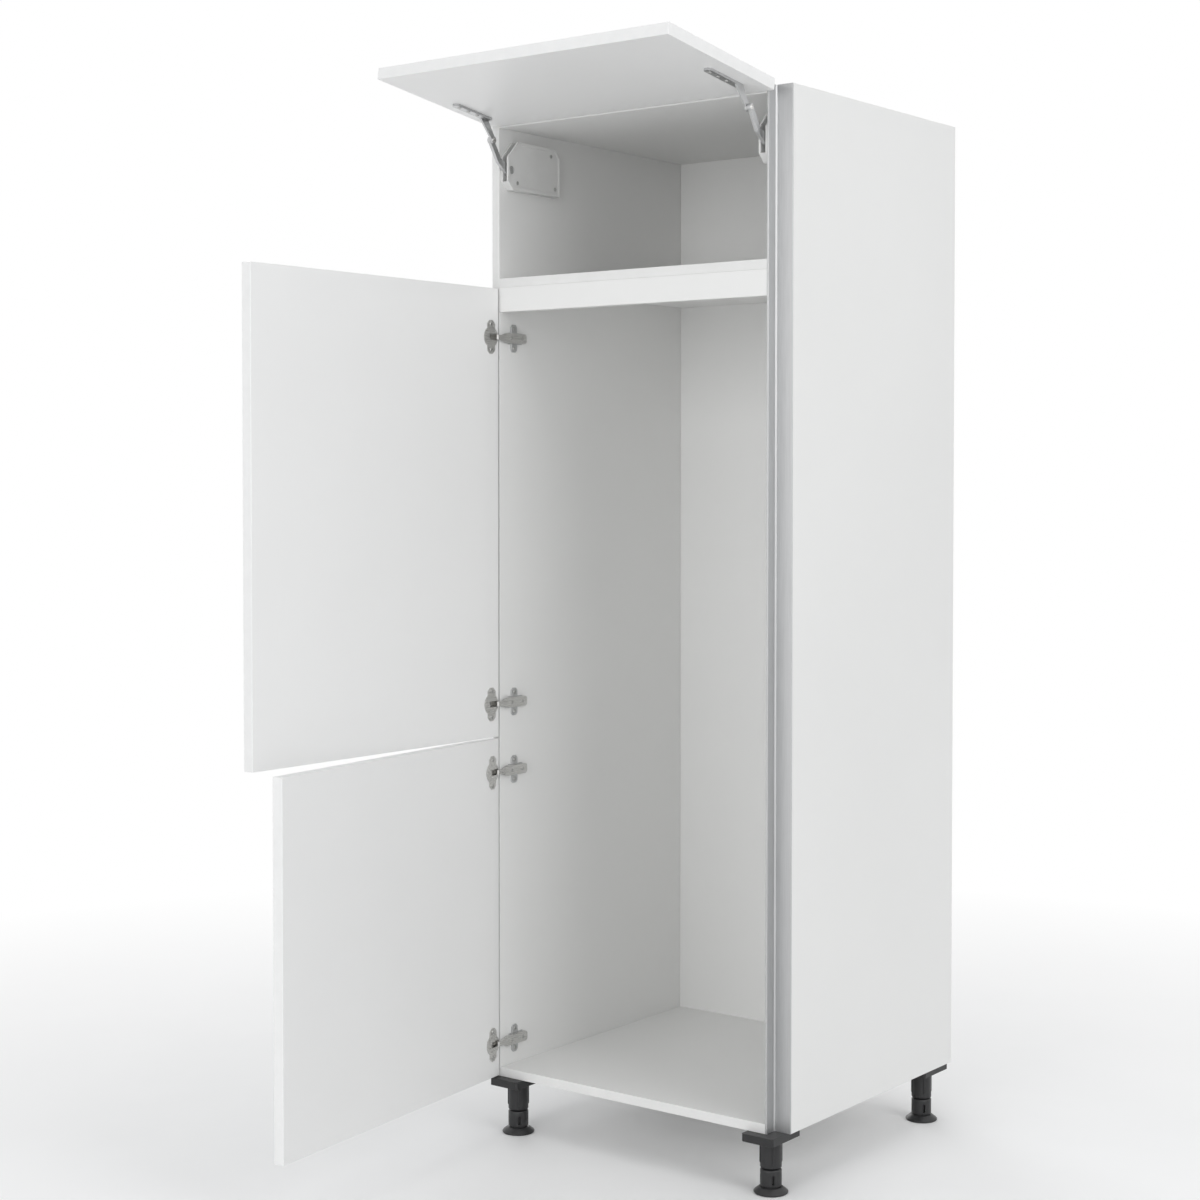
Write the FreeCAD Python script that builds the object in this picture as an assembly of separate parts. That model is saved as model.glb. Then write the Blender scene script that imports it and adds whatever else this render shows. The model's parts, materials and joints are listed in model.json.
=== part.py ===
import FreeCAD, Part
import math
import os

os.makedirs("parts", exist_ok=True)

# Carcase, in millimetres: X from the left outer face, Y from the front edge, Z from the underside
board = 16.0
cab_w = 600.0
cab_d = 560.0
cab_h = 1668.0
cupboard_h = 276.0
rail_h = 42.0

# Back panels, held in grooves of the side boards
back_t = 8.0
back_inset = 8.0
groove_depth = 8.0
groove_play = 0.2
groove_end_play = 0.5

# Grip recess along the right front edge, and the profile that lines it
recess_w = 31.0
recess_d = 24.0
profile_t = 2.0
bead_t = 3.5
bead_d = 3.0
cove = 2.0

# Fronts
front_t = 19.0
front_gap = 3.0
front_joint = 3.0
reveal = 1.5
finger_gap = 17.0
split_z = 595.0
end_reveal = 2.0
upper_open = 90.0
lower_open = 84.0

# Concealed hinges
pivot_from_edge = 6.9
pivot_depth = 8.5
cup_r = 17.5
cup_depth = 13.0
cup_wall = 1.0
cup_rim = 2.5
bore_play = 0.1
ear_h = 58.0
ear_w = 20.0
ear_t = 1.5
ear_corner = 6.0
hinge_pin_r = 1.5
pocket_play = 0.6
pocket_side = 1.0
pin_play = 0.05
eye_r = 2.6
eye_corner = 1.2
nose_half = 4.0
nose_t = 3.2
nose_floor = 0.4
nose_front_t = 4.5
crank_bevel = 2.0
arm_half = 8.5
arm_t = 6.0
arm_wall = 1.5
arm_taper = 12.0
arm_back = 64.0
arm_corner = 3.0
plate_t = 2.5
plate_front = 22.0
plate_back = 58.0
plate_half = 10.0
ridge_play = 0.2
ridge_bevel = 1.5
wing_front = 29.0
wing_back = 45.0
wing_half = 24.0
wing_corner = 4.0
hinge_inset = 58.0
hinge_inset_flap = 84.5

# Flap stays: pivots in the closed state, and the swing from closed to open
stay_y = 14.0
stay_drop = 72.0
flap_pin_y = 28.4
flap_pin_drop = 9.0
arm_swing = 57.3
flap_open = 98.0
case_t = 16.0
case_wall = 3.5
case_front = 5.0
case_back = 150.0
case_drop = 22.0
case_h = 84.0
case_cut_y = 32.0
case_cut_drop = 28.0
case_corner = 14.0
case_mouth = 44.0
case_rim = 6.0
case_field = 0.8
stay_pin_r = 5.0
stay_eye_r = 9.0
stay_eye_corner = 5.0
stay_arm_t = 6.0
stay_arm_half = 5.0
stay_side_play = 1.0
knee_along = 27.0
knee_off = 8.0
flap_pin_r = 3.0
flap_eye_r = 6.0
bracket_t = 4.0
bracket_gap = 0.5
bracket_foot_t = 4.0
bracket_foot_w = 14.0
bracket_foot_top = 40.0
bracket_foot_low = 135.0
bracket_corner = 4.0
bracket_neck_low = 66.0
spacer_t = 20.0

# Levelling feet
leg_h = 100.0
leg_inset_side = 37.0
leg_inset_front = 24.0
leg_inset_back = 42.0
flange_w = 60.0
flange_d = 84.0
flange_t = 13.0
flange_corner = 3.0
sleeve_r = 17.5
sleeve_low = 58.0
spindle_r = 6.0
spindle_top = 21.0
bore_top = 16.0
collar_gap = 2.0
disc_r = 28.0
disc_h = 7.0

# Derived lines that several pieces share
inner_l = board
inner_r = cab_w - board
back_y = cab_d - back_inset - back_t
profile_x = cab_w - recess_w - profile_t
profile_y = recess_d + profile_t
door_l = reveal
door_r = cab_w - finger_gap
door_in = -front_gap
door_out = -front_gap - front_t
pivot_x = door_l + pivot_from_edge
pivot_y = door_in - pivot_depth
cup_x = door_l + cup_rim + cup_r
arm_base = inner_l + plate_t
arm_outer = arm_base + arm_t
nose_base = door_in - cup_depth + cup_wall + nose_floor
top_under = cab_h - board
shelf_z = top_under - cupboard_h
upper_z0 = split_z + front_joint / 2
upper_z1 = shelf_z - front_joint / 2
lower_z1 = split_z - front_joint / 2
flap_z0 = shelf_z + front_joint / 2
flap_z1 = cab_h - end_reveal
hinge_zs = {
    "upper_top": upper_z1 - hinge_inset_flap,
    "upper_low": upper_z0 + hinge_inset,
    "lower_top": lower_z1 - hinge_inset,
    "lower_low": end_reveal + hinge_inset,
}

AXIS_X = FreeCAD.Vector(1, 0, 0)
AXIS_Y = FreeCAD.Vector(0, 1, 0)
AXIS_Z = FreeCAD.Vector(0, 0, 1)
CENTRE = FreeCAD.Vector(0, 0, 0)
solids = {}


def span(x0, x1, y0, y1, z0, z1):
    """Box between two corners."""
    return Part.makeBox(x1 - x0, y1 - y0, z1 - z0, FreeCAD.Vector(x0, y0, z0))


def rod(radius, start, axis, length):
    """Cylinder from a start point along an axis."""
    return Part.makeCylinder(radius, length, FreeCAD.Vector(*start), axis)


def flat(points):
    """Flat face inside a closed outline."""
    return Part.Face(Part.makePolygon(points + points[:1]))


def prism_x(outline, x0, x1):
    """Outline of (y, z) points drawn out from x0 to x1."""
    return flat([FreeCAD.Vector(x0, y, z) for y, z in outline]).extrude(AXIS_X * (x1 - x0))


def prism_y(outline, y0, y1):
    """Outline of (x, z) points drawn out from y0 to y1."""
    return flat([FreeCAD.Vector(x, y0, z) for x, z in outline]).extrude(AXIS_Y * (y1 - y0))


def prism_z(outline, z0, z1):
    """Outline of (x, y) points drawn out from z0 to z1."""
    return flat([FreeCAD.Vector(x, y, z0) for x, y in outline]).extrude(AXIS_Z * (z1 - z0))


def turned(profile, x, y):
    """Profile of (radius, z) points turned about the upright through (x, y)."""
    body = flat([FreeCAD.Vector(r, 0, z) for r, z in profile]).revolve(CENTRE, AXIS_Z, 360)
    body.translate(FreeCAD.Vector(x, y, 0))
    return body


def both_halves(half, middle):
    """Closed outline from (u, offset) points, mirrored about the line v = middle."""
    upper = [(u, middle + offset) for u, offset in half]
    lower = [(u, middle - offset) for u, offset in reversed(half)]
    return upper + lower


def cut_corners(u, v, half_u, half_v, corner):
    """Rectangle about (u, v) with its corners cut off."""
    half = [
        (u - half_u, half_v - corner),
        (u - half_u + corner, half_v),
        (u + half_u - corner, half_v),
        (u + half_u, half_v - corner),
    ]
    return both_halves(half, v)


def joined(first, *others):
    """One clean solid from touching or overlapping shapes."""
    return first.multiFuse(list(others)).removeSplitter()


# Carcase
def side_board(outer, inner, front):
    """Side board drawn up from its section, with a groove for the back panels on its inner face."""
    bed = inner + math.copysign(groove_depth, outer - inner)
    return prism_z([
        (outer, front),
        (inner, front),
        (inner, back_y - groove_play),
        (bed, back_y - groove_play),
        (bed, back_y + back_t + groove_play),
        (inner, back_y + back_t + groove_play),
        (inner, cab_d),
        (outer, cab_d),
    ], 0, cab_h)


def level_board(z0):
    """Level board, notched for the grip profile."""
    return prism_z([
        (inner_l, 0),
        (profile_x, 0),
        (profile_x, profile_y),
        (inner_r, profile_y),
        (inner_r, back_y),
        (inner_l, back_y),
    ], z0, z0 + board)


def back_panel(z0, z1):
    """Back panel that reaches into both side grooves."""
    reach = groove_depth - groove_end_play
    return span(inner_l - reach, inner_r + reach, back_y, back_y + back_t, z0, z1)


def grip_profile():
    """Angle section with a bead along its front edge and a cove in its corner."""
    wall = profile_x + profile_t
    return prism_z([
        (profile_x, 0),
        (profile_x + bead_t, 0),
        (profile_x + bead_t, bead_d),
        (wall, bead_d + bead_t - profile_t),
        (wall, recess_d - cove),
        (wall + cove, recess_d),
        (cab_w, recess_d),
        (cab_w, profile_y),
        (profile_x, profile_y),
    ], 0, cab_h)


solids["side_left"] = side_board(0, inner_l, 0)
solids["side_right"] = side_board(cab_w, inner_r, profile_y)
solids["bottom_board"] = level_board(0)
solids["fixed_shelf"] = level_board(shelf_z)
solids["top_board"] = level_board(top_under)
solids["shelf_rail"] = span(inner_l, profile_x, 0, board, shelf_z - rail_h, shelf_z)
solids["back_niche"] = back_panel(0, shelf_z + board / 2)
solids["back_cupboard"] = back_panel(shelf_z + board / 2, cab_h)
solids["grip_profile"] = grip_profile()


# Doors and hinges, drawn closed; what rides on a door is then swung open about its pivots
def swing(shape, angle):
    """Shape turned open about the door pivots."""
    turned_open = shape.copy()
    turned_open.rotate(FreeCAD.Vector(pivot_x, pivot_y, 0), AXIS_Z, -angle)
    return turned_open


def door(z0, z1, hinge_names, angle):
    """Door panel with a blind bore for each hinge cup."""
    panel = span(door_l, door_r, door_out, door_in, z0, z1)
    for name in hinge_names:
        bore_depth = cup_depth + bore_play
        start = (cup_x, door_in - bore_depth, hinge_zs[name])
        panel = panel.cut(rod(cup_r + bore_play, start, AXIS_Y, bore_depth))
    return swing(panel, angle)


def hinge_cup(z):
    """Cup with its screw ears, a pocket for the arm's nose and the pin across the pocket."""
    ears = prism_y(cut_corners(cup_x, z, ear_w / 2, ear_h / 2, ear_corner), door_in, door_in + ear_t)
    body = rod(cup_r, (cup_x, door_in - cup_depth, z), AXIS_Y, cup_depth + ear_t)
    reach = math.hypot(arm_outer - pivot_x, nose_base - pivot_y) + pocket_play
    half = nose_half + pocket_side
    pocket = span(pivot_x - eye_r - pocket_play, pivot_x + reach, door_in - cup_depth + cup_wall,
                  door_in + ear_t, z - half, z + half)
    pin = rod(hinge_pin_r, (pivot_x, pivot_y, z - half), AXIS_Z, 2 * half)
    return joined(body.fuse(ears).cut(pocket), pin)


def hinge_arm(z):
    """Channel that sits over the plate's ridge, with a cranked nose to the pin in the cup."""
    channel = prism_x(both_halves([
        (0, nose_half),
        (arm_taper, arm_half),
        (arm_back - arm_corner, arm_half),
        (arm_back, arm_half - arm_corner),
    ], z), arm_base, arm_outer)
    inside = arm_half - arm_wall
    hollow = span(arm_base, arm_outer - arm_wall, arm_taper, arm_back, z - inside, z + inside)
    crank = prism_z([
        (pivot_x, nose_base),
        (arm_outer - crank_bevel, nose_base),
        (arm_outer, nose_base + crank_bevel),
        (arm_outer, 0),
        (arm_outer - nose_front_t, 0),
        (arm_outer - nose_front_t, nose_base + nose_t),
        (pivot_x, nose_base + nose_t),
    ], z - nose_half, z + nose_half)
    eye = prism_z(cut_corners(pivot_x, pivot_y, eye_r, eye_r, eye_corner), z - nose_half, z + nose_half)
    hole = rod(hinge_pin_r + pin_play, (pivot_x, pivot_y, z - nose_half), AXIS_Z, 2 * nose_half)
    return joined(channel.cut(hollow), crank, eye).cut(hole)


def hinge_plate(z):
    """Cross-shaped mounting plate on the side board, with the ridge that carries the arm."""
    cross = prism_x(both_halves([
        (plate_front, plate_half),
        (wing_front, plate_half),
        (wing_front, wing_half - wing_corner),
        (wing_front + wing_corner, wing_half),
        (wing_back - wing_corner, wing_half),
        (wing_back, wing_half - wing_corner),
        (wing_back, plate_half),
        (plate_back, plate_half),
    ], z), inner_l, arm_base)
    ridge_half = arm_half - arm_wall - ridge_play
    ridge_top = arm_outer - arm_wall
    ridge = prism_y(both_halves([
        (inner_l, ridge_half),
        (ridge_top - ridge_bevel, ridge_half),
        (ridge_top, ridge_half - ridge_bevel),
    ], z), plate_front, plate_back)
    return joined(cross, ridge)


solids["door_upper"] = door(upper_z0, upper_z1, ("upper_top", "upper_low"), upper_open)
solids["door_lower"] = door(end_reveal, lower_z1, ("lower_top", "lower_low"), lower_open)
for name, z in hinge_zs.items():
    angle = upper_open if name.startswith("upper") else lower_open
    solids["hinge_plate_" + name] = hinge_plate(z)
    solids["hinge_arm_" + name] = hinge_arm(z)
    solids["hinge_cup_" + name] = swing(hinge_cup(z), angle)

# Flap and stays, drawn closed on the left and then set to the open state
stay_z = top_under - stay_drop
stay_pivot = FreeCAD.Vector(0, stay_y, stay_z)
flap_pin = FreeCAD.Vector(0, flap_pin_y, top_under - flap_pin_drop)
flap_pin_open = FreeCAD.Rotation(AXIS_X, arm_swing).multVec(flap_pin - stay_pivot) + stay_pivot
case_high = top_under - case_drop
case_low = case_high - case_h
case_x0 = inner_l
case_x1 = inner_l + case_t
arm_x0 = case_x0 + case_wall + stay_side_play
arm_x1 = arm_x0 + stay_arm_t
bracket_x0 = arm_x1 + bracket_gap
right_base = inner_r - spacer_t
mirror_x = (inner_l + right_base) / 2


def lifted(shape):
    """Shape carried with the flap from closed to open."""
    moved = shape.copy()
    moved.rotate(flap_pin, AXIS_X, -flap_open)
    moved.translate(flap_pin_open - flap_pin)
    return moved


def mirrored(shape):
    """Right-hand copy of a left-hand stay piece."""
    return shape.mirror(FreeCAD.Vector(mirror_x, 0, 0), AXIS_X)


def case_outline():
    """Side outline of the stay case, with its front cut away above for the arm."""
    return [
        (case_front + case_corner, case_low),
        (case_back, case_low),
        (case_back, case_high - case_corner),
        (case_back - case_corner, case_high),
        (case_cut_y, case_high),
        (case_front, case_high - case_cut_drop),
        (case_front, case_low + case_corner),
    ]


def stay_case():
    """Hollow case with a sunk field on its cover, open at the front and above the arm."""
    shell = prism_x(case_outline(), case_x0, case_x1)
    cavity = span(case_x0 + case_wall, case_x1 - case_wall, 0, case_back - case_wall,
                  case_low + case_corner, case_high - case_wall - case_corner)
    mouth = span(case_x0 + case_wall, case_x1 - case_wall, 0, case_mouth,
                 case_low + case_corner, cab_h)
    cover = flat([FreeCAD.Vector(case_x1, y, z) for y, z in case_outline()])
    field = cover.makeOffset2D(-case_rim).extrude(AXIS_X * -case_field)
    pin = rod(stay_pin_r, (case_x0, stay_y, stay_z), AXIS_X, case_t - case_field)
    return joined(shell.cut(cavity).cut(mouth).cut(field), pin)


def bar(start, end, start_half, end_half):
    """Flat bar of the arm between two points, with its half width at each."""
    across = AXIS_X.cross(end - start).normalize()
    corners = [
        start + across * start_half,
        end + across * end_half,
        end - across * end_half,
        start - across * start_half,
    ]
    return prism_x([(corner.y, corner.z) for corner in corners], arm_x0, arm_x1)


def stay_arm():
    """Arm with a knee between its eye at the case pivot and its eye at the flap pin."""
    along = (flap_pin - stay_pivot).normalize()
    knee = stay_pivot + along * knee_along + AXIS_X.cross(along) * knee_off
    lower = bar(stay_pivot, knee, stay_eye_r, stay_arm_half)
    upper = bar(knee, flap_pin, stay_arm_half, stay_arm_half)
    bend = rod(stay_arm_half, (arm_x0, knee.y, knee.z), AXIS_X, stay_arm_t)
    root = prism_x(cut_corners(stay_y, stay_z, stay_eye_r, stay_eye_r, stay_eye_corner), arm_x0, arm_x1)
    tip = rod(flap_eye_r, (arm_x0, flap_pin.y, flap_pin.z), AXIS_X, stay_arm_t)
    root_hole = rod(stay_pin_r + pin_play, (arm_x0, stay_y, stay_z), AXIS_X, stay_arm_t)
    tip_hole = rod(flap_pin_r + pin_play, (arm_x0, flap_pin.y, flap_pin.z), AXIS_X, stay_arm_t)
    opened = joined(lower, upper, bend, root, tip).cut(root_hole).cut(tip_hole)
    opened.rotate(stay_pivot, AXIS_X, arm_swing)
    return opened


def flap_bracket():
    """Bracket screwed to the flap, with a neck to the pin in the arm."""
    foot_x = bracket_x0 + bracket_foot_w / 2
    foot_z = flap_z1 - (bracket_foot_top + bracket_foot_low) / 2
    foot_half = (bracket_foot_low - bracket_foot_top) / 2
    foot = prism_y(cut_corners(foot_x, foot_z, bracket_foot_w / 2, foot_half, bracket_corner),
                   door_in, door_in + bracket_foot_t)
    neck = prism_x([
        (door_in, flap_z1 - bracket_foot_top - bracket_corner),
        (flap_pin.y - flap_eye_r / 2, flap_pin.z + flap_eye_r / 2),
        (flap_pin.y + flap_eye_r / 2, flap_pin.z - flap_eye_r / 2),
        (door_in, flap_z1 - bracket_neck_low),
    ], bracket_x0, bracket_x0 + bracket_t)
    eye = rod(flap_eye_r, (bracket_x0, flap_pin.y, flap_pin.z), AXIS_X, bracket_t)
    pin = rod(flap_pin_r, (arm_x0, flap_pin.y, flap_pin.z), AXIS_X, bracket_x0 + bracket_t - arm_x0)
    return lifted(joined(foot, neck, eye, pin))


solids["flap"] = lifted(span(door_l, door_r, door_out, door_in, flap_z0, flap_z1))
for name, shape in (("stay_case", stay_case()), ("stay_arm", stay_arm()), ("flap_bracket", flap_bracket())):
    solids[name + "_left"] = shape
    solids[name + "_right"] = mirrored(shape)
beside_profile = span(right_base, inner_r, 0, profile_y, 0, cab_h)
solids["stay_spacer"] = prism_x(case_outline(), right_base, inner_r).cut(beside_profile)


# Levelling feet
def foot_socket(x, y):
    """Flange and sleeve under the carcase."""
    plate = prism_z(cut_corners(x, y, flange_w / 2, flange_d / 2, flange_corner), -flange_t, 0)
    bore_r = spindle_r + pin_play
    sleeve = turned([
        (0, -bore_top),
        (bore_r, -bore_top),
        (bore_r, -sleeve_low),
        (sleeve_r, -sleeve_low),
        (sleeve_r, -flange_t),
        (0, -flange_t),
    ], x, y)
    return joined(plate, sleeve)


def foot_spindle(x, y):
    """Screw spindle with its turning collar and floor disc."""
    collar_top = -sleeve_low - collar_gap
    return turned([
        (0, -leg_h),
        (disc_r, -leg_h),
        (disc_r, -leg_h + disc_h),
        (sleeve_r, -leg_h + disc_h),
        (sleeve_r, collar_top),
        (spindle_r, collar_top),
        (spindle_r, -spindle_top),
        (0, -spindle_top),
    ], x, y)


for side, x in (("left", leg_inset_side), ("right", cab_w - leg_inset_side)):
    for end, y in (("front", leg_inset_front), ("back", cab_d - leg_inset_back)):
        solids["foot_socket_" + end + "_" + side] = foot_socket(x, y)
        solids["foot_" + end + "_" + side] = foot_spindle(x, y)

# Frame: origin on the floor, under the middle of the whole cabinet as it stands open
whole = Part.makeCompound(list(solids.values())).optimalBoundingBox(False, False)
to_frame = FreeCAD.Vector(-whole.Center.x, -whole.Center.y, leg_h)
for name, shape in solids.items():
    placed = shape.copy()
    placed.translate(to_frame)
    placed.exportStep(os.path.join("parts", name + ".step"))
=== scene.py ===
import json
import math
import bmesh
import bpy
from mathutils import Matrix, Vector


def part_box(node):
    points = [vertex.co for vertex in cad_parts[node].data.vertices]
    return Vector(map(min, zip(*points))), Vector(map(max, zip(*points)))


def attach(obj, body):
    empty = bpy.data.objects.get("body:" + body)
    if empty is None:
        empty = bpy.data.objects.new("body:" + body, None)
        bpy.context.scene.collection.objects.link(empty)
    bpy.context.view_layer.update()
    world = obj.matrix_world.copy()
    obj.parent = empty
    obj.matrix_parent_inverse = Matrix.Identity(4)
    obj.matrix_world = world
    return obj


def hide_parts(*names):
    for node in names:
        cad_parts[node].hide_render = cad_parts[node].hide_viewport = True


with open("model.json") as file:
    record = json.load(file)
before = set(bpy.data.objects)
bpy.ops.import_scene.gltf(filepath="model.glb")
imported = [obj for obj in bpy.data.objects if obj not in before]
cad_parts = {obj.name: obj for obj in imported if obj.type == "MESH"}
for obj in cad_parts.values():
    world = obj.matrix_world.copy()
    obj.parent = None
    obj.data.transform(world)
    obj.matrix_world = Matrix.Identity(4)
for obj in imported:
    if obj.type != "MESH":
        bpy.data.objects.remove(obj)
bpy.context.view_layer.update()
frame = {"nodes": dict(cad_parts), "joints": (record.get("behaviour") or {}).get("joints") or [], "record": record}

nodes = frame["nodes"]
joints = {joint["name"]: joint for joint in frame["joints"]}
couplings = {link["joint"]: link for link in frame["record"]["behaviour"]["couplings"]}

MM = 0.001
HINGES = ("upper_top", "upper_low", "lower_top", "lower_low")
FEET = ("front_left", "back_left", "front_right", "back_right")
X_AXIS = Vector((1.0, 0.0, 0.0))
Y_AXIS = Vector((0.0, 1.0, 0.0))
Z_AXIS = Vector((0.0, 0.0, 1.0))


# How the fronts stand at rest
def door_turn(hinge):
    """Turn from closed to open of the door that a hinge carries, and the door's joint."""
    joint = joints[hinge.split("_")[0] + "_door_swing"]
    return Matrix.Rotation(-math.radians(joint["range_deg"][1]), 3, "Z"), joint


LOWER_TURN = door_turn("lower_top")[0]
FLAP_TILT = joints["flap_tilt"]["range_deg"][1]
ARM_RATIO = couplings["left_stay_swing"]["ratio"]
FLAP_TURN = Matrix.Rotation(-math.radians(FLAP_TILT * (1.0 + ARM_RATIO)), 3, "X")
FLAP_IN = FLAP_TURN @ Y_AXIS
FLAP_DOWN = FLAP_TURN @ -Z_AXIS
FLAP_PIN = Vector(joints["flap_tilt"]["pos_m"])
STAY_PIVOT = Vector(joints["left_stay_swing"]["pos_m"])


# Materials
class Shader:
    """Wires one procedural material."""

    def __init__(self, name):
        self.material = bpy.data.materials.new(name)
        self.material.use_nodes = True
        self.tree = self.material.node_tree
        self.tree.nodes.clear()
        self.out = self.tree.nodes.new("ShaderNodeOutputMaterial")
        self.bsdf = self.tree.nodes.new("ShaderNodeBsdfPrincipled")
        self.tree.links.new(self.bsdf.outputs["BSDF"], self.out.inputs["Surface"])
        self.coords = self.tree.nodes.new("ShaderNodeTexCoord")

    def node(self, kind, **settings):
        """New node with its settings."""
        made = self.tree.nodes.new(kind)
        for key, value in settings.items():
            setattr(made, key, value)
        return made

    def link(self, source, target):
        """Wire from an output to an input."""
        self.tree.links.new(source, target)

    def scaled(self, scale):
        """Object coordinates scaled along each axis."""
        mapping = self.node("ShaderNodeMapping")
        mapping.inputs["Scale"].default_value = scale
        self.link(self.coords.outputs["Object"], mapping.inputs["Vector"])
        return mapping.outputs["Vector"]

    def noise(self, scale, detail=3.0, rough=0.5, vector=None):
        """Noise over the object's own coordinates, or over a given vector."""
        made = self.node("ShaderNodeTexNoise")
        made.inputs["Scale"].default_value = scale
        made.inputs["Detail"].default_value = detail
        made.inputs["Roughness"].default_value = rough
        self.link(vector or self.coords.outputs["Object"], made.inputs["Vector"])
        return made.outputs["Fac"]

    def ramp(self, factor, stops):
        """Colour read off (place, colour) stops."""
        made = self.node("ShaderNodeValToRGB")
        points = made.color_ramp.elements
        points[0].position, points[0].color = stops[0][0], (*stops[0][1], 1.0)
        points[1].position, points[1].color = stops[-1][0], (*stops[-1][1], 1.0)
        for place, colour in stops[1:-1]:
            points.new(place).color = (*colour, 1.0)
        self.link(factor, made.inputs["Fac"])
        return made.outputs["Color"]

    def drift(self, factor, colour, share, low=0.3, high=0.7):
        """Colour that drifts between a darker share of itself and its full tone."""
        return self.ramp(factor, ((low, tuple(c * share for c in colour)), (high, colour)))

    def spread(self, factor, low, high):
        """Factor spread over a range of values."""
        made = self.node("ShaderNodeMapRange")
        made.inputs["To Min"].default_value = low
        made.inputs["To Max"].default_value = high
        self.link(factor, made.inputs["Value"])
        return made.outputs["Result"]

    def math(self, operation, first, second):
        """Operation on two values, each an output or a number."""
        made = self.node("ShaderNodeMath", operation=operation)
        for socket, value in zip(made.inputs, (first, second)):
            if isinstance(value, (int, float)):
                socket.default_value = value
            else:
                self.link(value, socket)
        return made.outputs["Value"]

    def mix(self, factor, first, second):
        """First colour where the factor is zero, second where it is one."""
        made = self.node("ShaderNodeMix", data_type="RGBA")
        self.link(factor, made.inputs["Factor"])
        self.link(first, made.inputs["A"])
        self.link(second, made.inputs["B"])
        return made.outputs["Result"]

    def bump(self, height, strength, distance):
        """Fine relief on the whole surface."""
        made = self.node("ShaderNodeBump")
        made.inputs["Strength"].default_value = strength
        made.inputs["Distance"].default_value = distance
        self.link(height, made.inputs["Height"])
        self.link(made.outputs["Normal"], self.bsdf.inputs["Normal"])

    def along(self, source, axis):
        """Part of a coordinate output that lies along an axis."""
        dot = self.node("ShaderNodeVectorMath", operation="DOT_PRODUCT")
        dot.inputs[1].default_value = axis
        self.link(self.coords.outputs[source], dot.inputs[0])
        return dot.outputs["Value"]


# Boards: clouds are noise scales per metre, shares are the dark end of a colour's drift
FACE_LIMIT = 0.72
FACE_CLOUD = 2.2
FACE_SHARE = 0.972
BAND_CLOUD = 40.0
BAND_SHARE = 0.975
BAND_STOPS = (0.35, 0.65)
CHIP_NOISE = (680.0, 4.0, 0.72)
CHIP_STOPS = (
    (0.34, (0.30, 0.20, 0.11)),
    (0.50, (0.52, 0.38, 0.23)),
    (0.66, (0.71, 0.57, 0.39)),
)
SHEEN_NOISE = (9.0, 4.0)
SHEEN_LESS = 0.05
SHEEN_MORE = 0.06
PEARL_NOISE = (1500.0, 2.0)
PEARL_RELIEF = (0.10, 0.12 * MM)
BOARD_SPECULAR = 0.42


def board_material(name, axis, pale, edge, rough, raw_rear=False):
    """Faced board: fine pearl on the faces, plain edge band, bare chipboard on a raw rear edge."""
    s = Shader(name)
    face = s.drift(s.noise(FACE_CLOUD), pale, FACE_SHARE)
    band = s.drift(s.noise(BAND_CLOUD), edge, BAND_SHARE, *BAND_STOPS)
    if raw_rear:
        core = s.ramp(s.noise(*CHIP_NOISE), CHIP_STOPS)
        rear = s.math("GREATER_THAN", s.along("Normal", Y_AXIS), FACE_LIMIT)
        band = s.mix(rear, band, core)
    facing = s.math("ABSOLUTE", s.along("Normal", axis), 0.0)
    is_face = s.math("GREATER_THAN", facing, FACE_LIMIT)
    s.link(s.mix(is_face, band, face), s.bsdf.inputs["Base Color"])
    sheen = s.spread(s.noise(*SHEEN_NOISE), rough - SHEEN_LESS, rough + SHEEN_MORE)
    s.link(sheen, s.bsdf.inputs["Roughness"])
    s.bump(s.noise(*PEARL_NOISE), *PEARL_RELIEF)
    s.bsdf.inputs["Specular IOR Level"].default_value = BOARD_SPECULAR
    return s.material


# Metals: how long the grain is drawn, and what its contrast does to gloss and relief
STREAK_NOISE = (1.0, 3.0, 0.6)
STREAK_DRAWN = 0.02
STREAK_GLOSSY = 0.6
STREAK_DULL = 0.8
STREAK_BUMP = 1.2
STREAK_HEIGHT = 0.08 * MM


def metal_material(name, colour, rough, grain, drawn_along, contrast):
    """Plated or anodised metal with a fine drawn grain."""
    s = Shader(name)
    stretch = tuple(grain * (STREAK_DRAWN if part else 1.0) for part in drawn_along)
    streak = s.noise(*STREAK_NOISE, s.scaled(stretch))
    s.link(s.drift(streak, colour, 1.0 - contrast), s.bsdf.inputs["Base Color"])
    s.bsdf.inputs["Metallic"].default_value = 1.0
    low, high = rough - STREAK_GLOSSY * contrast, rough + STREAK_DULL * contrast
    s.link(s.spread(streak, low, high), s.bsdf.inputs["Roughness"])
    s.bump(streak, STREAK_BUMP * contrast, STREAK_HEIGHT)
    return s.material


# Plastics
MOULD_CLOUD = 35.0
MOULD_SHARE = 0.96
MOULD_SHEEN = 260.0
MOULD_SPREAD = 0.07
MOULD_RELIEF = (0.22, 0.12 * MM)


def plastic_material(name, colour, rough, grain):
    """Moulded plastic with a fine spark-eroded grain and a little colour drift."""
    s = Shader(name)
    s.link(s.drift(s.noise(MOULD_CLOUD), colour, MOULD_SHARE), s.bsdf.inputs["Base Color"])
    sheen = s.spread(s.noise(MOULD_SHEEN), rough - MOULD_SPREAD, rough + MOULD_SPREAD)
    s.link(sheen, s.bsdf.inputs["Roughness"])
    s.bump(s.noise(grain), *MOULD_RELIEF)
    return s.material


# Finishes of the cabinet
WHITE = (0.84, 0.84, 0.83)
BAND = (0.80, 0.80, 0.79)
FRONT = (0.87, 0.87, 0.865)
BACK = (0.83, 0.83, 0.82)
FIBRE = (0.45, 0.33, 0.21)
CARCASE_ROUGH = 0.46
BACK_ROUGH = 0.52
FRONT_ROUGH = 0.34

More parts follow.
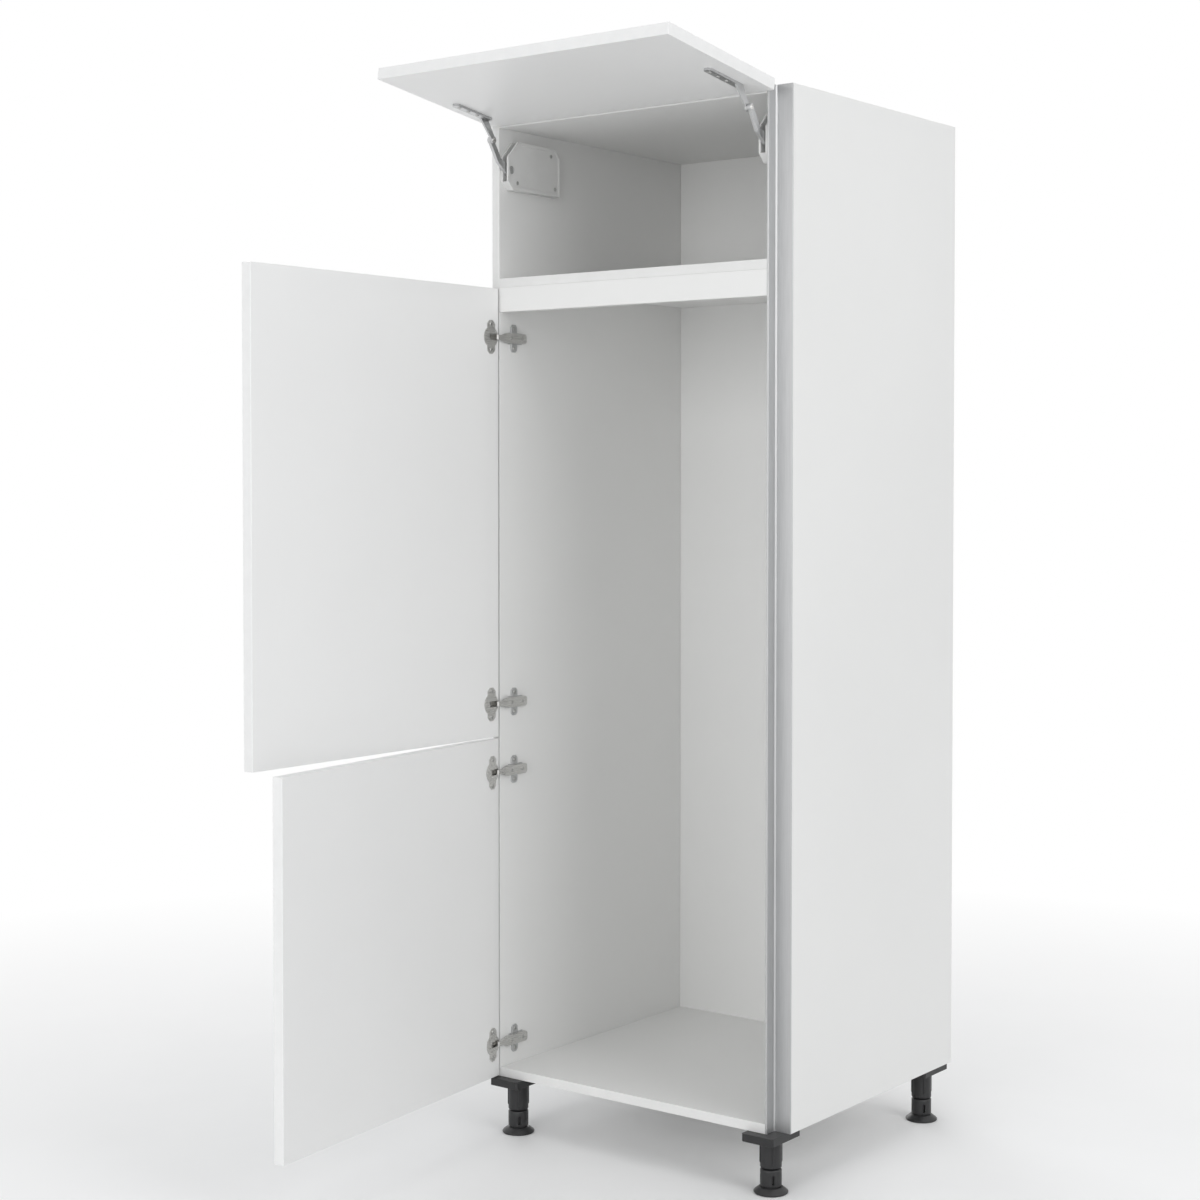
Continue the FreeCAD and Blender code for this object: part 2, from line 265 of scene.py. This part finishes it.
side_mat = board_material("carcase_side_board", X_AXIS, WHITE, BAND, CARCASE_ROUGH, raw_rear=True)
spacer_mat = board_material("carcase_spacer_board", X_AXIS, WHITE, BAND, CARCASE_ROUGH)
level_mat = board_material("carcase_level_board", Z_AXIS, WHITE, BAND, CARCASE_ROUGH)
rail_mat = board_material("carcase_rail_board", Y_AXIS, WHITE, BAND, CARCASE_ROUGH)
back_mat = board_material("carcase_back_board", Y_AXIS, BACK, FIBRE, BACK_ROUGH)
upper_mat = board_material("front_upper_board", X_AXIS, FRONT, FRONT, FRONT_ROUGH)
lower_mat = board_material("front_lower_board", LOWER_TURN @ Y_AXIS, FRONT, FRONT, FRONT_ROUGH)
flap_mat = board_material("front_flap_board", FLAP_IN, FRONT, FRONT, FRONT_ROUGH)
profile_mat = metal_material("grip_anodised", (0.56, 0.565, 0.57), rough=0.42, grain=900.0,
                             drawn_along=(0, 0, 1), contrast=0.10)
nickel_mat = metal_material("nickel_plate", (0.66, 0.655, 0.64), rough=0.27, grain=1400.0,
                            drawn_along=(0, 1, 0), contrast=0.04)
zinc_mat = metal_material("zinc_plate", (0.58, 0.585, 0.59), rough=0.36, grain=700.0,
                          drawn_along=(0, 0, 1), contrast=0.06)
screw_mat = metal_material("screw_steel", (0.50, 0.50, 0.49), rough=0.30, grain=2500.0,
                           drawn_along=(1, 0, 0), contrast=0.05)
case_mat = plastic_material("stay_cover_plastic", (0.72, 0.72, 0.71), rough=0.50, grain=2200.0)
black_mat = plastic_material("foot_black_plastic", (0.018, 0.018, 0.019), rough=0.42, grain=1800.0)

# CAD nodes
SOFT_ANGLE = math.radians(38.0)
SOFT_STEPS = 2
SOFT_WEIGHT = 100
SAME_POINT = 0.002 * MM
FLAT_ANGLE = math.radians(0.6)


def soften(piece, width):
    """Rounds the sharp edges of a piece."""
    soft = piece.modifiers.new("soft", "BEVEL")
    soft.width = width
    soft.segments = SOFT_STEPS
    soft.limit_method = "ANGLE"
    soft.angle_limit = SOFT_ANGLE
    even = piece.modifiers.new("even", "WEIGHTED_NORMAL")
    even.weight = SOFT_WEIGHT
    piece.data.shade_smooth()


def dress(name, material, bevel):
    """CAD node with softened edges and its own finish."""
    piece = nodes[name]
    piece.data.materials.clear()
    piece.data.materials.append(material)
    weld = piece.modifiers.new("weld", "WELD")
    weld.merge_threshold = SAME_POINT
    flat = piece.modifiers.new("flat", "DECIMATE")
    flat.decimate_type = "DISSOLVE"
    flat.angle_limit = FLAT_ANGLE
    soften(piece, bevel)


# Nodes, their material and the width of their rounded edges
FINISH = (
    (("side_left", "side_right"), side_mat, 0.7 * MM),
    (("bottom_board", "fixed_shelf", "top_board"), level_mat, 0.6 * MM),
    (("shelf_rail",), rail_mat, 0.6 * MM),
    (("back_niche", "back_cupboard"), back_mat, 0.3 * MM),
    (("stay_spacer",), spacer_mat, 0.5 * MM),
    (("door_upper",), upper_mat, 0.9 * MM),
    (("door_lower",), lower_mat, 0.9 * MM),
    (("flap",), flap_mat, 0.9 * MM),
    (("grip_profile",), profile_mat, 0.3 * MM),
    (("stay_case_left", "stay_case_right"), case_mat, 0.8 * MM),
    (("stay_arm_left", "stay_arm_right"), zinc_mat, 0.4 * MM),
    (("flap_bracket_left", "flap_bracket_right"), zinc_mat, 0.4 * MM),
    (["hinge_plate_" + hinge for hinge in HINGES], zinc_mat, 0.4 * MM),
    (["hinge_arm_" + hinge for hinge in HINGES], nickel_mat, 0.4 * MM),
    (["hinge_cup_" + hinge for hinge in HINGES], nickel_mat, 0.15 * MM),
    (["foot_socket_" + foot for foot in FEET], black_mat, 0.8 * MM),
)
for names, material, bevel in FINISH:
    for name in names:
        dress(name, material, bevel)

# Mesh pieces: a screw head is given in shares of its radius and height
CREASE = math.radians(30.0)
SCREW_SEGMENTS = 24
SCREW_PROFILE = ((1.0, 0.0), (1.0, 0.4), (0.86, 0.82), (0.66, 1.0))
CROSS_ARM = 0.46
CROSS_HALF = 0.11
CROSS_TAPER = 0.75
CROSS_FLOOR = 0.35


def placed(origin, direction, twist=0.0):
    """Placement with its local Z axis along a direction."""
    turn = Z_AXIS.rotation_difference(direction).to_matrix().to_4x4()
    return Matrix.Translation(origin) @ turn @ Matrix.Rotation(twist, 4, "Z")


def full_turn(segments):
    """Even angles round a full turn."""
    return [math.tau * i / segments for i in range(segments)]


class Form:
    """Mesh built up from turned and drawn shapes."""

    def __init__(self):
        self.work = bmesh.new()

    def ring(self, place, points):
        """New corners at points of a placement."""
        return [self.work.verts.new(place @ Vector(point)) for point in points]

    def skin(self, low, high):
        """Faces between two rings, either of which may be a single point."""
        for i in range(max(len(low), len(high))):
            j = i + 1
            below = (low[i % len(low)], low[j % len(low)])
            above = (high[j % len(high)], high[i % len(high)])
            self.work.faces.new(list(dict.fromkeys(below + above)))

    def stack(self, place, rows, closed=True):
        """Skin over rows of (height, (angle, radius) pairs), its top left open if not closed."""
        rings = [self.ring(place, ((0.0, 0.0, rows[0][0]),))]
        for height, corners in rows:
            points = [(r * math.cos(a), r * math.sin(a), height) for a, r in corners]
            rings.append(self.ring(place, points))
        if closed:
            rings.append(self.ring(place, ((0.0, 0.0, rows[-1][0]),)))
        for low, high in zip(rings, rings[1:]):
            self.skin(low, high)
        return rings[-1]

    def turned(self, place, profile, segments=32):
        """Profile of (radius, height) points turned about the placement's Z axis."""
        angles = full_turn(segments)
        self.stack(place, [(height, [(a, radius) for a in angles]) for radius, height in profile])

    def drawn(self, place, outline, thickness):
        """Outline of (x, z) points drawn out to both sides of the placement's XZ plane."""
        front = self.ring(place, [(x, -thickness / 2, z) for x, z in outline])
        back = self.ring(place, [(x, thickness / 2, z) for x, z in outline])
        self.skin(front, back)
        self.work.faces.new(front)
        self.work.faces.new(back)

    def screw(self, place, radius, height):
        """Pan head with a tapered cross recess."""
        angles = full_turn(SCREW_SEGMENTS)
        rows = [(rise * height, [(a, share * radius) for a in angles])
                for share, rise in SCREW_PROFILE]
        top = self.stack(place, rows, closed=False)
        arm, half = CROSS_ARM * radius, CROSS_HALF * radius
        quarter = ((arm, -half), (arm, half), (half, half))
        cross = []
        for k in range(4):
            c, s = round(math.cos(k * math.pi / 2)), round(math.sin(k * math.pi / 2))
            cross += [(c * x - s * y, s * x + c * y) for x, y in quarter]
        mouth = self.ring(place, [(x, y, height) for x, y in cross])
        sunk = [(CROSS_TAPER * x, CROSS_TAPER * y, CROSS_FLOOR * height) for x, y in cross]
        bottom = self.ring(place, sunk)
        self.skin(mouth, bottom)
        self.work.faces.new(bottom)
        rim = []
        for loop in (top, mouth):
            for first, second in zip(loop, loop[1:] + loop[:1]):
                rim.append(self.work.edges.get((first, second)))
        bmesh.ops.triangle_fill(self.work, use_beauty=True, edges=rim)

    def piece(self, name, material, body, slot, edge=None):
        """Finished piece that moves with a CAD body."""
        bmesh.ops.recalc_face_normals(self.work, faces=self.work.faces)
        mesh = bpy.data.meshes.new(name)
        self.work.to_mesh(mesh)
        self.work.free()
        mesh.materials.append(material)
        made = bpy.data.objects.new(name, mesh)
        bpy.context.scene.collection.objects.link(made)
        if edge:
            soften(made, edge)
        else:
            mesh.shade_smooth()
            mesh.set_sharp_from_angle(angle=CREASE)
        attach(made, body)
        return made


# Hinges: screws in the cup's ears, in the plate's wings and on the arm
EAR_FACE = Vector((13.1, 10.0, 0.0)) * MM
EAR_SCREW = 22.5 * MM
EAR_HEAD = (3.6 * MM, 1.2 * MM)
PLATE_T = 2.5 * MM
WING_MIDDLE = 15.0 * MM
WING_SCREW = 17.0 * MM
WING_HEAD = (3.6 * MM, 1.6 * MM)
ARM_SCREWS = (12.0 * MM, 41.0 * MM)
ARM_HEAD = (3.0 * MM, 0.9 * MM)
ARM_TURNS = 40.0
SCREW_TURN = 0.65

for number, hinge in enumerate(HINGES):
    turn, joint = door_turn(hinge)
    plate_low, plate_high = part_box("hinge_plate_" + hinge)
    arm_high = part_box("hinge_arm_" + hinge)[1]
    height = (plate_low.z + plate_high.z) / 2
    pivot = Vector((joint["pos_m"][0], joint["pos_m"][1], height))
    ears = Form()
    plate = Form()
    for up in (-1, 1):
        twist = SCREW_TURN * (2 * number + up)
        ear = pivot + turn @ EAR_FACE + Z_AXIS * up * EAR_SCREW
        ears.screw(placed(ear, turn @ Y_AXIS, twist), *EAR_HEAD)
        wing_y, wing_z = plate_low.y + WING_MIDDLE, height + up * WING_SCREW
        wing = Vector((plate_low.x + PLATE_T, wing_y, wing_z))
        plate.screw(placed(wing, X_AXIS, twist + SCREW_TURN), *WING_HEAD)
    ears.piece("hinge_ear_screws_" + hinge, screw_mat, joint["child"], "hinge_steel")
    plate.piece("hinge_plate_screws_" + hinge, screw_mat, "carcase", "hinge_plate")
    arm = Form()
    for back in ARM_SCREWS:
        spot = Vector((arm_high.x, arm_high.y - back, height))
        arm.screw(placed(spot, X_AXIS, SCREW_TURN * (number + ARM_TURNS * back)), *ARM_HEAD)
    arm.piece("hinge_arm_screws_" + hinge, screw_mat, "carcase", "hinge_steel")

# Flap stays: pivot caps and screws on the case covers, rivets on the arms, screws in the brackets
COVER_FIELD = 0.8 * MM
CASE_SCREWS = ((26.0 * MM, 13.0 * MM), (130.0 * MM, 13.0 * MM), (119.0 * MM, 70.0 * MM))
CASE_HEAD = (3.4 * MM, 1.3 * MM)
CAP_PROFILE = (
    (6.6 * MM, 0.0), (6.6 * MM, 1.2 * MM), (6.1 * MM, 1.6 * MM), (4.6 * MM, 1.6 * MM),
    (4.3 * MM, 1.2 * MM), (3.9 * MM, 1.2 * MM), (2.4 * MM, 1.5 * MM), (0.6 * MM, 1.6 * MM),
)
CAP_SEGMENTS = 40
RIVET_PROFILE = ((4.4 * MM, 0.0), (4.4 * MM, 0.3 * MM), (3.7 * MM, 0.8 * MM), (2.0 * MM, 1.0 * MM))
BRACKET_EYE = 10.0 * MM
BRACKET_FACE = -27.4 * MM
BRACKET_SIDE = 5.5 * MM
BRACKET_SCREWS = (54.0 * MM, 77.0 * MM, 100.0 * MM)
BRACKET_HEAD = (3.4 * MM, 1.5 * MM)

for side, out in (("left", 1), ("right", -1)):
    room = X_AXIS * out
    far = 1 if out > 0 else 0
    case_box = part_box("stay_case_" + side)
    case_low = case_box[0]
    cover = case_box[far].x - out * COVER_FIELD
    case = Form()
    for number, (along, up) in enumerate(CASE_SCREWS):
        spot = Vector((cover, case_low.y + along, case_low.z + up))
        case.screw(placed(spot, room, SCREW_TURN * number), *CASE_HEAD)
    case.piece("stay_case_screws_" + side, screw_mat, "carcase", "stay_steel")
    cap = Form()
    cap_spot = Vector((cover, STAY_PIVOT.y, STAY_PIVOT.z))
    cap.turned(placed(cap_spot, room), CAP_PROFILE, CAP_SEGMENTS)
    cap.piece("stay_pivot_cap_" + side, zinc_mat, "carcase", "stay_steel")
    tip_spot = Vector((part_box("stay_arm_" + side)[1 - far].x, FLAP_PIN.y, FLAP_PIN.z))
    tip = Form()
    tip.turned(placed(tip_spot, -room), RIVET_PROFILE)
    tip.piece("stay_arm_rivet_" + side, nickel_mat, "stay_arm_" + side, "stay_steel")
    bracket_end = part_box("flap_bracket_" + side)[far].x
    eye_spot = Vector((bracket_end - out * BRACKET_EYE, FLAP_PIN.y, FLAP_PIN.z))
    eye = Form()
    eye.turned(placed(eye_spot, room), RIVET_PROFILE)
    eye.piece("flap_bracket_rivet_" + side, nickel_mat, "flap", "stay_steel")
    bracket = Form()
    for number, along in enumerate(BRACKET_SCREWS):
        spot = FLAP_PIN + FLAP_IN * BRACKET_FACE + FLAP_DOWN * along
        spot.x = bracket_end - out * BRACKET_SIDE
        bracket.screw(placed(spot, FLAP_IN, SCREW_TURN * number), *BRACKET_HEAD)
    bracket.piece("flap_bracket_screws_" + side, screw_mat, "flap", "stay_steel")

# Levelling feet: threaded spindle, slotted collar, conical floor disc, socket ribs and screws
MARK_SIDE = math.radians(-45.0)
SIDES = 4
QUARTER = math.tau / SIDES
RIM_R = 2.2 * MM
RIM_END = 52.0
EDGE_R = 0.9 * MM
EDGE_START = 38.0
CONE_R = 19.4 * MM
CONE_TOP = 10.4 * MM
GROOVE_R = 15.4 * MM
COLLAR_R = 17.5 * MM
COLLAR_LOW = 12.4 * MM
COLLAR_GAP = 2.0 * MM
SHOULDER_R = 3.2 * MM
SLOT_LOW = 16.5 * MM
SLOT_HIGH = 30.5 * MM
SLOT_WALL = 0.3 * MM
SLOT_DEPTH = 4.5 * MM
SLOT_HALF = math.radians(6.0)
SLOT_EDGE = math.radians(0.6)
SPINDLE_R = 6.0 * MM
SPINDLE_SUNK = 1.0 * MM
THREAD_PITCH = 3.0 * MM
THREAD_DEPTH = 0.9 * MM
THREAD_ROWS = 6
THREAD_SEGMENTS = 36
FLANGE_T = 13.0 * MM
FLANGE_SCREW = (23.0 * MM, 34.0 * MM)
FLANGE_HEAD = (3.8 * MM, 1.6 * MM)
RIB_OUTLINE = (
    (16.5 * MM, 0.5 * MM), (18.7 * MM, 0.5 * MM), (18.7 * MM, -36.0 * MM),
    (18.3 * MM, -37.6 * MM), (16.5 * MM, -38.6 * MM),
)
RIB_T = 2.4 * MM
RIB_EDGE = 0.4 * MM


def arc(radius, height, bend, start, end, steps=4):
    """Points of a rounding about a (radius, height) point, between two angles in degrees."""
    angles = [math.radians(start + (end - start) * i / steps) for i in range(steps + 1)]
    return [(radius + bend * math.cos(a), height + bend * math.sin(a)) for a in angles]


def leg_rows(disc_r, top):
    """Rows of (radius, height, slot depth) up the floor disc and the collar."""
    disc = arc(disc_r - RIM_R, RIM_R, RIM_R, -90, RIM_END)
    cone = arc(CONE_R - EDGE_R, CONE_TOP - EDGE_R, EDGE_R, EDGE_START, 90)
    groove = [(GROOVE_R, CONE_TOP), (GROOVE_R, COLLAR_LOW)]
    below = arc(COLLAR_R - EDGE_R, COLLAR_LOW + EDGE_R, EDGE_R, -90, 0) + [(COLLAR_R, SLOT_LOW)]
    slot = [(COLLAR_R, SLOT_LOW + SLOT_WALL), (COLLAR_R, SLOT_HIGH - SLOT_WALL)]
    shoulder = arc(COLLAR_R - SHOULDER_R, top - SHOULDER_R, SHOULDER_R, 0, 90)
    above = [(COLLAR_R, SLOT_HIGH)] + shoulder
    parts = ((disc + cone + groove + below, 0.0), (slot, SLOT_DEPTH), (above, 0.0))
    return [(*row, depth) for rows, depth in parts for row in rows]


def slot_angles(steps=12):
    """Angles round the collar, close together at the edges of its slots."""
    angles = []
    for k in range(SIDES):
        middle = MARK_SIDE + k * QUARTER
        start = middle + SLOT_HALF + SLOT_EDGE
        gap = QUARTER - 2 * (SLOT_HALF + SLOT_EDGE)
        angles += [middle - SLOT_HALF, middle, middle + SLOT_HALF]
        angles += [start + gap * i / steps for i in range(steps + 1)]
    return angles


def in_slot(angle):
    """Whether an angle lies over one of the collar's slots."""
    away = (angle - MARK_SIDE + QUARTER / 2) % QUARTER - QUARTER / 2
    return abs(away) < SLOT_HALF + SLOT_EDGE / 2


def leg(form, place, disc_r, top):
    """Floor disc and collar, with upright slots sunk into the collar."""
    angles = slot_angles()
    rows = []
    for radius, height, depth in leg_rows(disc_r, top):
        rows.append((height, [(a, radius - depth if in_slot(a) else radius) for a in angles]))
    form.stack(place, rows)


def thread_radius(angle, height):
    """Radius of the spindle's thread at an angle and a height."""
    wave = math.cos(math.tau * height / THREAD_PITCH - angle)
    return SPINDLE_R - THREAD_DEPTH * (0.5 - 0.5 * wave)


def thread(form, place, low, high):
    """Screw thread of the spindle between two heights, with its ends closed."""
    angles = full_turn(THREAD_SEGMENTS)
    count = round((high - low) / THREAD_PITCH * THREAD_ROWS)
    rows = []
    for step in range(count + 1):
        height = low + (high - low) * step / count
        rows.append((height, [(a, thread_radius(a, height)) for a in angles]))
    form.stack(place, rows)


for foot in FEET:
    low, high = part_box("foot_" + foot)
    socket_low, socket_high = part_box("foot_socket_" + foot)
    centre = Vector(((low.x + high.x) / 2, (low.y + high.y) / 2, low.z))
    on_floor = Matrix.Translation(centre)
    collar_top = socket_low.z - COLLAR_GAP - low.z
    screw_foot = Form()
    leg(screw_foot, on_floor, (high.x - low.x) / 2, collar_top)
    thread(screw_foot, on_floor, collar_top - SPINDLE_SUNK, high.z - low.z)
    made = screw_foot.piece("screw_foot_" + foot, black_mat, "foot_" + foot, "foot_plastic")
    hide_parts("foot_" + foot)
    flange = Vector((centre.x, centre.y, socket_high.z - FLANGE_T))
    ribs = Form()
    screws = Form()
    for k in range(SIDES):
        turn = Matrix.Rotation(MARK_SIDE + k * QUARTER, 4, "Z")
        ribs.drawn(Matrix.Translation(flange) @ turn, RIB_OUTLINE, RIB_T)
        corner = Vector((FLANGE_SCREW[0] * (-1) ** k, FLANGE_SCREW[1] * (-1) ** (k // 2), 0.0))
        screws.screw(placed(flange + corner, -Z_AXIS, SCREW_TURN * k), *FLANGE_HEAD)
    ribs.piece("foot_socket_ribs_" + foot, black_mat, "carcase", "foot_plastic", RIB_EDGE)
    screws.piece("foot_socket_screws_" + foot, screw_mat, "carcase", "hinge_steel")

# Stage: pale floor that runs out to white, soft studio light
FLOOR_SIZE = 14.0
FLOOR_CELLS = 8
FLOOR_NOISE = (3.0, 4.0)
FLOOR_STOPS = ((0.3, (0.90, 0.90, 0.90)), (0.7, (0.93, 0.93, 0.93)))
FLOOR_ROUGH = 0.9
FLOOR_SPECULAR = 0.1
FADE_START = 0.3
FADE_END = 2.6
WORLD_TINT = (0.97, 0.985, 1.0, 1.0)
WORLD_LEVEL = 0.50
WHITE_SEEN = (1.0, 1.0, 1.0, 1.0)

# Name, place, aim, size and power of each lamp
LAMPS = (
    ("key_light", (0.7, -4.5, 1.7), (0.0, 0.0, 1.0), (3.2, 2.4), 68.0),
    ("side_light", (3.8, -0.6, 2.4), (0.2, 0.2, 0.9), (2.0, 2.6), 46.0),
    ("top_light", (0.2, 0.2, 4.6), (0.0, 0.2, 0.0), (3.0, 3.0), 34.0),
    ("back_light", (-3.4, 3.0, 2.2), (0.0, 0.2, 0.9), (2.4, 2.4), 46.0),
)


def seen_directly(tree):
    """One where a surface is seen by the camera, in a reflection or through glass."""
    path = tree.nodes.new("ShaderNodeLightPath")
    seen = path.outputs["Is Camera Ray"]
    for ray in ("Is Glossy Ray", "Is Transmission Ray"):
        either = tree.nodes.new("ShaderNodeMath")
        either.operation = "MAXIMUM"
        tree.links.new(seen, either.inputs[0])
        tree.links.new(path.outputs[ray], either.inputs[1])
        seen = either.outputs["Value"]
    return seen


def floor_paper():
    """Paper that keeps the shadow near the cabinet and fades to white around it."""
    s = Shader("studio_floor_paper")
    s.bsdf.inputs["Roughness"].default_value = FLOOR_ROUGH
    s.bsdf.inputs["Specular IOR Level"].default_value = FLOOR_SPECULAR
    s.link(s.ramp(s.noise(*FLOOR_NOISE), FLOOR_STOPS), s.bsdf.inputs["Base Color"])
    away = s.node("ShaderNodeVectorMath", operation="LENGTH")
    s.link(s.coords.outputs["Object"], away.inputs[0])
    fade = s.node("ShaderNodeMapRange")
    fade.inputs["From Min"].default_value = FADE_START
    fade.inputs["From Max"].default_value = FADE_END
    s.link(away.outputs["Value"], fade.inputs["Value"])
    glow = s.node("ShaderNodeEmission")
    blend = s.node("ShaderNodeMixShader")
    share = s.math("MULTIPLY", fade.outputs["Result"], seen_directly(s.tree))
    s.link(share, blend.inputs["Fac"])
    s.link(s.bsdf.outputs["BSDF"], blend.inputs[1])
    s.link(glow.outputs["Emission"], blend.inputs[2])
    s.link(blend.outputs["Shader"], s.out.inputs["Surface"])
    return s.material


def floor():
    """Level floor under the cabinet."""
    mesh = bpy.data.meshes.new("studio_floor")
    work = bmesh.new()
    bmesh.ops.create_grid(work, x_segments=FLOOR_CELLS, y_segments=FLOOR_CELLS, size=FLOOR_SIZE)
    work.to_mesh(mesh)
    work.free()
    mesh.materials.append(floor_paper())
    made = bpy.data.objects.new("studio_floor", mesh)
    bpy.context.scene.collection.objects.link(made)


def studio_world():
    """Even light from all round, seen as plain white."""
    world = bpy.data.worlds.new("studio")
    world.use_nodes = True
    tree = world.node_tree
    tree.nodes.clear()
    out = tree.nodes.new("ShaderNodeOutputWorld")
    both = tree.nodes.new("ShaderNodeMixShader")
    tree.links.new(seen_directly(tree), both.inputs["Fac"])
    for place, colour, strength in ((1, WORLD_TINT, WORLD_LEVEL), (2, WHITE_SEEN, 1.0)):
        sky = tree.nodes.new("ShaderNodeBackground")
        sky.inputs["Color"].default_value = colour
        sky.inputs["Strength"].default_value = strength
        tree.links.new(sky.outputs["Background"], both.inputs[place])
    tree.links.new(both.outputs["Shader"], out.inputs["Surface"])
    bpy.context.scene.world = world


def lamp(name, place, aim, size, power):
    """Soft rectangular lamp aimed at a point."""
    data = bpy.data.lights.new(name, "AREA")
    data.shape = "RECTANGLE"
    data.size, data.size_y = size
    data.energy = power
    made = bpy.data.objects.new(name, data)
    bpy.context.scene.collection.objects.link(made)
    made.location = place
    made.rotation_euler = (Vector(aim) - Vector(place)).to_track_quat("-Z", "Y").to_euler()


floor()
studio_world()
for values in LAMPS:
    lamp(*values)

# Camera: tilted down a little and shifted a little, so that uprights look upright
CAMERA_PLACE = (2.1139, -2.8277, 1.1420)
CAMERA_TILT = math.radians(90.0 - 1.591)
CAMERA_TURN = math.radians(37.462)
SENSOR_WIDTH = 36.0
FOCAL_LENGTH = 64.06
LENS_SHIFT = -0.05
CLIP_END = 60.0

lens = bpy.data.cameras.new("camera")
lens.sensor_width = SENSOR_WIDTH
lens.lens = FOCAL_LENGTH
lens.shift_y = LENS_SHIFT
lens.clip_end = CLIP_END
camera = bpy.data.objects.new("camera", lens)
bpy.context.scene.collection.objects.link(camera)
camera.location = CAMERA_PLACE
camera.rotation_euler = (CAMERA_TILT, 0.0, CAMERA_TURN)
bpy.context.scene.camera = camera
bpy.context.scene.view_settings.view_transform = "Standard"
